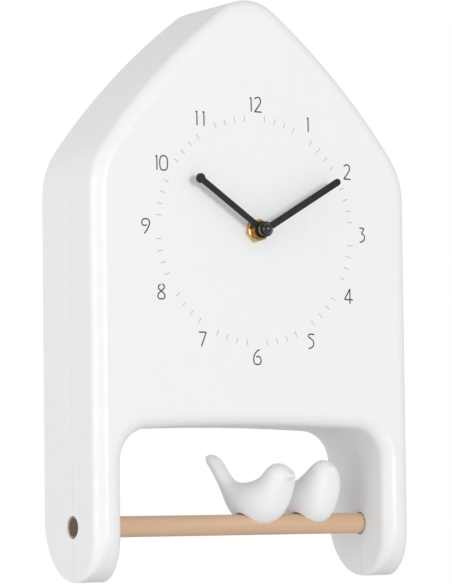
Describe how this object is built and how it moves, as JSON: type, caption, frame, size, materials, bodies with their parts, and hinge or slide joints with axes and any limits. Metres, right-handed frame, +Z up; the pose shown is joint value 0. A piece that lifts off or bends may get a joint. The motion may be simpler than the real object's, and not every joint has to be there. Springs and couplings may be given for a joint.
{
  "type": "cuckoo clock",
  "caption": "House-shaped wall cuckoo clock: white moulded case with an arched opening, two birds on a wooden perch, black hands and a battery movement.",
  "frame": {"origin": "centre of the round entry of the keyhole in the hanger plate, on the wall plane", "axes": "+X to the viewer's right, +Y into the wall, +Z up; the hands turn about an axis along Y, 95 mm below the origin"},
  "size_m": [0.2114, 0.078, 0.3352],
  "materials": {
    "white_plastic": "fine matte",
    "beech": "sanded, clear matte lacquer",
    "bird_white": "smooth matte",
    "black_metal": "satin",
    "brass": "turned",
    "steel": "zinc plated",
    "rubber": "matte",
    "black_plastic": "matte",
    "gear_nylon": "natural nylon",
    "setting_red": "matte",
    "magnet": "ferrite",
    "copper": "enamelled wire",
    "board_green": "solder resist",
    "cell_jacket": "printed foil, plain",
    "paper": "pressed paper",
    "wire": "soft insulation"
  },
  "bodies": {
    "case": {"front_shell": "white_plastic", "back_shell": "white_plastic", "shell_screws": "steel", "hanger_plate": "steel", "hanger_screws": "steel", "perch_rod": "beech", "large_bird": "bird_white", "small_bird": "bird_white", "hex_nut": "brass", "centre_bush": "brass", "movement_gasket": "rubber", "movement_case": "black_plastic", "movement_cover": "black_plastic", "stator": "steel", "coil_bobbin": "gear_nylon", "coil_winding": "copper", "logic_board": "board_green", "quartz_crystal": "steel", "movement_cell": "cell_jacket", "movement_contacts": "steel", "sound_cells": "cell_jacket", "sound_contacts": "steel", "speaker_frame": "steel", "speaker_magnet": "magnet", "speaker_cone": "paper", "sound_board": "board_green", "sound_parts": "black_plastic", "board_screws": "steel", "sound_switch_body": "black_plastic", "volume_pot": "black_plastic", "speaker_leads": "wire", "battery_leads": "wire", "strike_leads": "wire"},
    "minute": {"minute_arbor": "brass", "minute_hand": "black_metal", "cap_nut": "black_metal"},
    "hour": {"hour_wheel": "gear_nylon", "hour_collet": "brass", "hour_hand": "black_metal"},
    "motion": {"motion_wheel": "gear_nylon"},
    "setting": {"setting_knob": "setting_red"},
    "centre": {"centre_wheel": "gear_nylon"},
    "third": {"third_wheel": "gear_nylon"},
    "fourth": {"fourth_wheel": "gear_nylon"},
    "second": {"second_wheel": "gear_nylon"},
    "rotor": {"rotor": "magnet"},
    "battery_door": {"battery_door": "white_plastic"},
    "sound_switch": {"sound_switch": "black_plastic"},
    "volume_knob": {"volume_knob": "black_plastic"}
  },
  "joints": [
    {"name": "minute_spin", "type": "hinge", "parent": "case", "child": "minute", "pos_m": [0, -0.0528, -0.095], "axis": [0, 1, 0], "continuous": true},
    {"name": "hour_spin", "type": "hinge", "parent": "case", "child": "hour", "pos_m": [0, -0.0528, -0.095], "axis": [0, 1, 0], "continuous": true},
    {"name": "motion_spin", "type": "hinge", "parent": "case", "child": "motion", "pos_m": [-0.00167, -0.0528, -0.10445], "axis": [0, 1, 0], "continuous": true},
    {"name": "setting_spin", "type": "hinge", "parent": "case", "child": "setting", "pos_m": [-0.01069, -0.0528, -0.10774], "axis": [0, 1, 0], "continuous": true},
    {"name": "rotor_spin", "type": "hinge", "parent": "case", "child": "rotor", "pos_m": [0.0033, -0.0528, -0.07416], "axis": [0, 1, 0], "continuous": true},
    {"name": "second_spin", "type": "hinge", "parent": "case", "child": "second", "pos_m": [-0.0002, -0.0528, -0.08023], "axis": [0, 1, 0], "continuous": true},
    {"name": "fourth_spin", "type": "hinge", "parent": "case", "child": "fourth", "pos_m": [-0.0077, -0.0528, -0.08023], "axis": [0, 1, 0], "continuous": true},
    {"name": "third_spin", "type": "hinge", "parent": "case", "child": "third", "pos_m": [-0.00935, -0.0528, -0.0896], "axis": [0, 1, 0], "continuous": true},
    {"name": "centre_spin", "type": "hinge", "parent": "case", "child": "centre", "pos_m": [0, -0.0528, -0.095], "axis": [0, 1, 0], "continuous": true},
    {"name": "battery_door_hinge", "type": "hinge", "parent": "case", "child": "battery_door", "pos_m": [0, -0.0012, -0.1894], "axis": [-1, 0, 0], "range_deg": [0, 100]},
    {"name": "sound_switch_slide", "type": "slide", "parent": "case", "child": "sound_switch", "axis": [1, 0, 0], "range_m": [0, 0.004]},
    {"name": "volume_turn", "type": "hinge", "parent": "case", "child": "volume_knob", "pos_m": [0.076, -0.0078, -0.157], "axis": [0, 1, 0], "range_deg": [-135, 135]}
  ],
  "couplings": [
    {"joint": "hour_spin", "follows": "minute_spin", "ratio": 0.083333},
    {"joint": "motion_spin", "follows": "minute_spin", "ratio": -0.33333},
    {"joint": "setting_spin", "follows": "minute_spin", "ratio": 1},
    {"joint": "second_spin", "follows": "rotor_spin", "ratio": -0.16667},
    {"joint": "fourth_spin", "follows": "rotor_spin", "ratio": 0.033333},
    {"joint": "third_spin", "follows": "rotor_spin", "ratio": -0.0044444},
    {"joint": "centre_spin", "follows": "rotor_spin", "ratio": 0.00055556}
  ]
}
